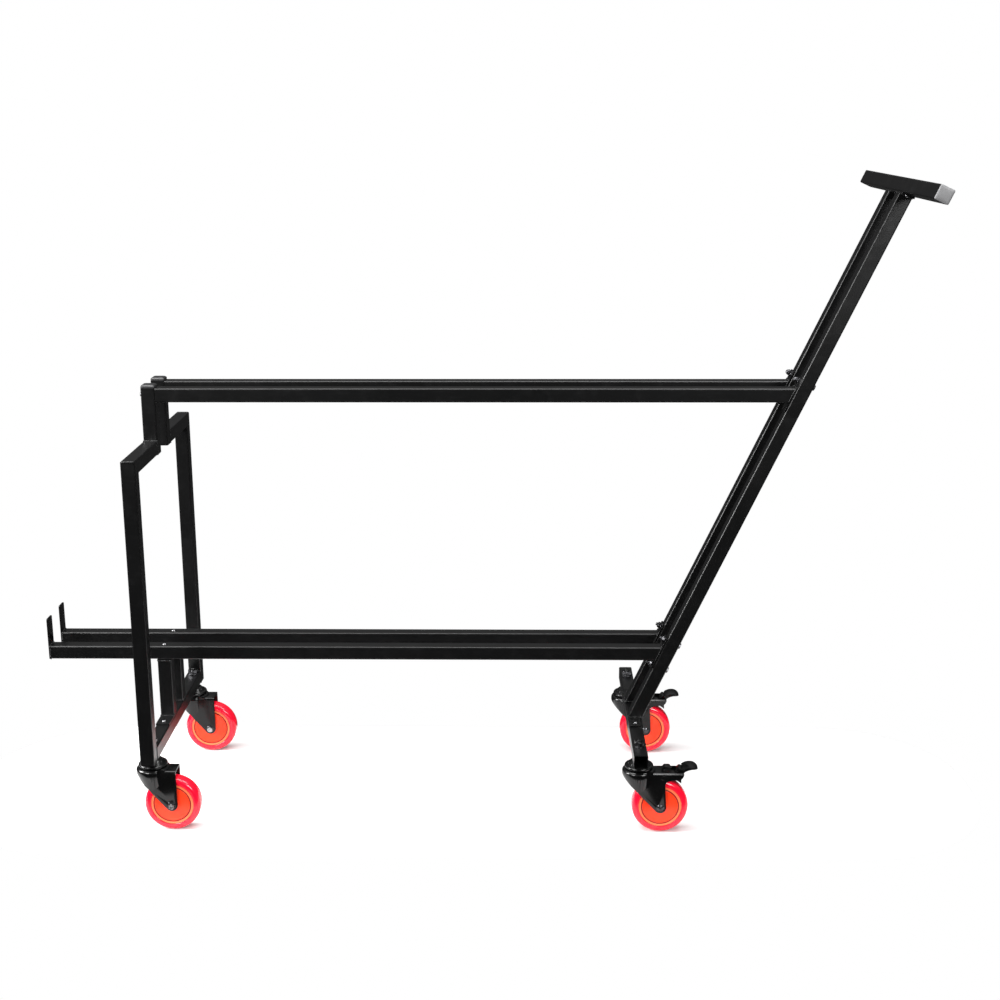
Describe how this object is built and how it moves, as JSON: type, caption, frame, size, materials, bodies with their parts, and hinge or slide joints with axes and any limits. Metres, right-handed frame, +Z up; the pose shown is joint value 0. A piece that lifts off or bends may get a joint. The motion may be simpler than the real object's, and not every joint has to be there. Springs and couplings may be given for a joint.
{
  "type": "queue post cart",
  "caption": "Wheeled cart that carries queue barrier posts in two pairs of parallel rails between a front portal and leaning rear posts with a push bar; swivel castors, the rear ones braked.",
  "frame": {"origin": "on the floor under the centre of the whole cart's box, on its mid plane between left and right", "axes": "+X from the loading end, with the stops, to the push bar; +Y to the right-hand side of a person pushing; +Z up"},
  "size_m": [1.5396, 0.536, 1.1399],
  "materials": {
    "frame_black": "satin black powder coat",
    "castor_black": "semi-gloss black coat",
    "black_plastic": "moulded, fine matt",
    "grey_plastic": "moulded, fine matt",
    "black_bolt": "black oxide",
    "zinc": "bright zinc plate",
    "red_tyre": "gloss polyurethane",
    "orange_hub": "gloss moulded"
  },
  "bodies": {
    "frame": {"front_leg_l": "frame_black", "front_leg_r": "frame_black", "front_cross_tube": "frame_black", "shoulder_l": "frame_black", "shoulder_r": "frame_black", "inner_post_l": "frame_black", "inner_post_r": "frame_black", "post_caps": "black_plastic", "support_post_l": "frame_black", "support_post_r": "frame_black", "lower_rail_l": "frame_black", "lower_rail_r": "frame_black", "stop_l": "frame_black", "stop_r": "frame_black", "upper_rail_l": "frame_black", "upper_rail_r": "frame_black", "upper_flange_l": "frame_black", "upper_flange_r": "frame_black", "lower_flange_l": "frame_black", "lower_flange_r": "frame_black", "rear_post_l": "frame_black", "rear_post_r": "frame_black", "rear_foot_l": "frame_black", "rear_foot_r": "frame_black", "rear_cross_tube": "frame_black", "push_bar": "frame_black", "bar_plate": "frame_black", "bar_caps": "grey_plastic", "hanger_bolts": "zinc", "upper_bolts": "zinc", "lower_bolts": "zinc", "screws": "zinc", "stem_nuts": "black_bolt", "fl_head": "castor_black", "fr_head": "castor_black", "rl_head": "castor_black", "rr_head": "castor_black"},
    "fl_swivel": {"fl_fork": "castor_black", "fl_axle": "black_bolt"},
    "fl_wheel": {"fl_tyre": "red_tyre", "fl_hub": "orange_hub"},
    "fr_swivel": {"fr_fork": "castor_black", "fr_axle": "black_bolt"},
    "fr_wheel": {"fr_tyre": "red_tyre", "fr_hub": "orange_hub"},
    "rl_swivel": {"rl_fork": "castor_black", "rl_axle": "black_bolt", "rl_brake_fittings": "castor_black"},
    "rl_wheel": {"rl_tyre": "red_tyre", "rl_hub": "orange_hub"},
    "rl_brake": {"rl_pedal": "castor_black"},
    "rr_swivel": {"rr_fork": "castor_black", "rr_axle": "black_bolt", "rr_brake_fittings": "castor_black"},
    "rr_wheel": {"rr_tyre": "red_tyre", "rr_hub": "orange_hub"},
    "rr_brake": {"rr_pedal": "castor_black"}
  },
  "joints": [
    {"name": "fl_swivel_turn", "type": "hinge", "parent": "frame", "child": "fl_swivel", "pos_m": [-0.55784, -0.172, 0.116], "axis": [0, 0, 1], "continuous": true},
    {"name": "fl_wheel_spin", "type": "hinge", "parent": "fl_swivel", "child": "fl_wheel", "pos_m": [-0.52484, -0.172, 0.05], "axis": [0, 1, 0], "continuous": true},
    {"name": "fr_swivel_turn", "type": "hinge", "parent": "frame", "child": "fr_swivel", "pos_m": [-0.55784, 0.172, 0.116], "axis": [0, 0, 1], "continuous": true},
    {"name": "fr_wheel_spin", "type": "hinge", "parent": "fr_swivel", "child": "fr_wheel", "pos_m": [-0.52484, 0.172, 0.05], "axis": [0, 1, 0], "continuous": true},
    {"name": "rl_swivel_turn", "type": "hinge", "parent": "frame", "child": "rl_swivel", "pos_m": [0.30916, -0.172, 0.116], "axis": [0, 0, 1], "continuous": true},
    {"name": "rl_wheel_spin", "type": "hinge", "parent": "rl_swivel", "child": "rl_wheel", "pos_m": [0.34716, -0.172, 0.05], "axis": [0, 1, 0], "continuous": true},
    {"name": "rl_brake_press", "type": "hinge", "parent": "rl_swivel", "child": "rl_brake", "pos_m": [0.35116, -0.172, 0.107], "axis": [0, 1, 0], "range_deg": [0, 10]},
    {"name": "rr_swivel_turn", "type": "hinge", "parent": "frame", "child": "rr_swivel", "pos_m": [0.30916, 0.172, 0.116], "axis": [0, 0, 1], "continuous": true},
    {"name": "rr_wheel_spin", "type": "hinge", "parent": "rr_swivel", "child": "rr_wheel", "pos_m": [0.34716, 0.172, 0.05], "axis": [0, 1, 0], "continuous": true},
    {"name": "rr_brake_press", "type": "hinge", "parent": "rr_swivel", "child": "rr_brake", "pos_m": [0.35116, 0.172, 0.107], "axis": [0, 1, 0], "range_deg": [0, 10]}
  ]
}
